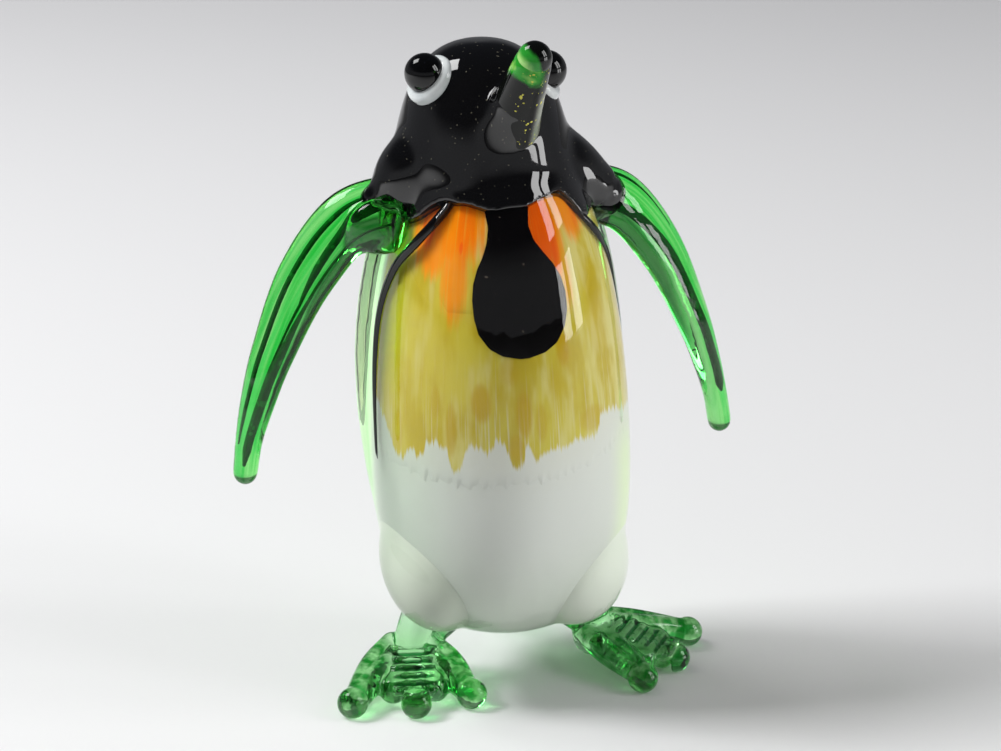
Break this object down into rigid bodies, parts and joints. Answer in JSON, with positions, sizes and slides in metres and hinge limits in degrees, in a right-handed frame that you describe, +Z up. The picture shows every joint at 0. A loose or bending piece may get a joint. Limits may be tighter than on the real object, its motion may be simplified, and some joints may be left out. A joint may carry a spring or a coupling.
{
  "type": "glass penguin figurine",
  "caption": "Small ornament of fused coloured glass in the shape of a standing penguin with raised beak, spread flippers, ribbed feet and a short tail to stand on.",
  "frame": {"origin": "on the surface the figurine stands on, in the middle of its width and depth", "axes": "+Z up; the figurine faces -Y, so +X is to the right of a viewer in front of it"},
  "size_m": [0.0618, 0.0327, 0.082],
  "materials": {
    "opal_white": "gloss",
    "haunch_opal": "gloss",
    "yellow_glass": "gloss",
    "orange_glass": "gloss",
    "black_glass": "gloss",
    "clear_glass": "gloss",
    "pale_green_glass": "gloss",
    "green_glass": "gloss",
    "dark_green_glass": "gloss",
    "flecked_green_glass": "gloss",
    "foot_glass": "gloss"
  },
  "bodies": {
    "root": {"body_core": "opal_white", "breast_yellow": "yellow_glass", "orange_patch_left": "orange_glass", "orange_patch_right": "orange_glass", "throat_bib": "black_glass", "side_stringer_left": "black_glass", "side_stringer_right": "black_glass", "body_casing": "clear_glass", "back_mantle": "pale_green_glass", "head": "black_glass", "beak": "flecked_green_glass", "beak_tip": "black_glass", "eye_white_left": "opal_white", "eye_white_right": "opal_white", "eye_pupil_left": "black_glass", "eye_pupil_right": "black_glass", "shoulder_gather_left": "black_glass", "shoulder_gather_right": "black_glass", "wing_left": "green_glass", "wing_right": "green_glass", "wing_thread_left_1": "dark_green_glass", "wing_thread_left_2": "dark_green_glass", "wing_thread_left_3": "dark_green_glass", "wing_thread_right_1": "dark_green_glass", "wing_thread_right_2": "dark_green_glass", "wing_knuckle_left": "green_glass", "wing_knuckle_right": "green_glass", "haunch_left": "haunch_opal", "haunch_right": "haunch_opal", "leg_left": "foot_glass", "leg_right": "foot_glass", "foot_pad_left": "foot_glass", "foot_pad_right": "foot_glass", "toe_inner_left": "foot_glass", "toe_middle_left": "foot_glass", "toe_outer_left": "foot_glass", "toe_inner_right": "foot_glass", "toe_middle_right": "foot_glass", "toe_outer_right": "foot_glass", "tail": "foot_glass"}
  },
  "joints": []
}
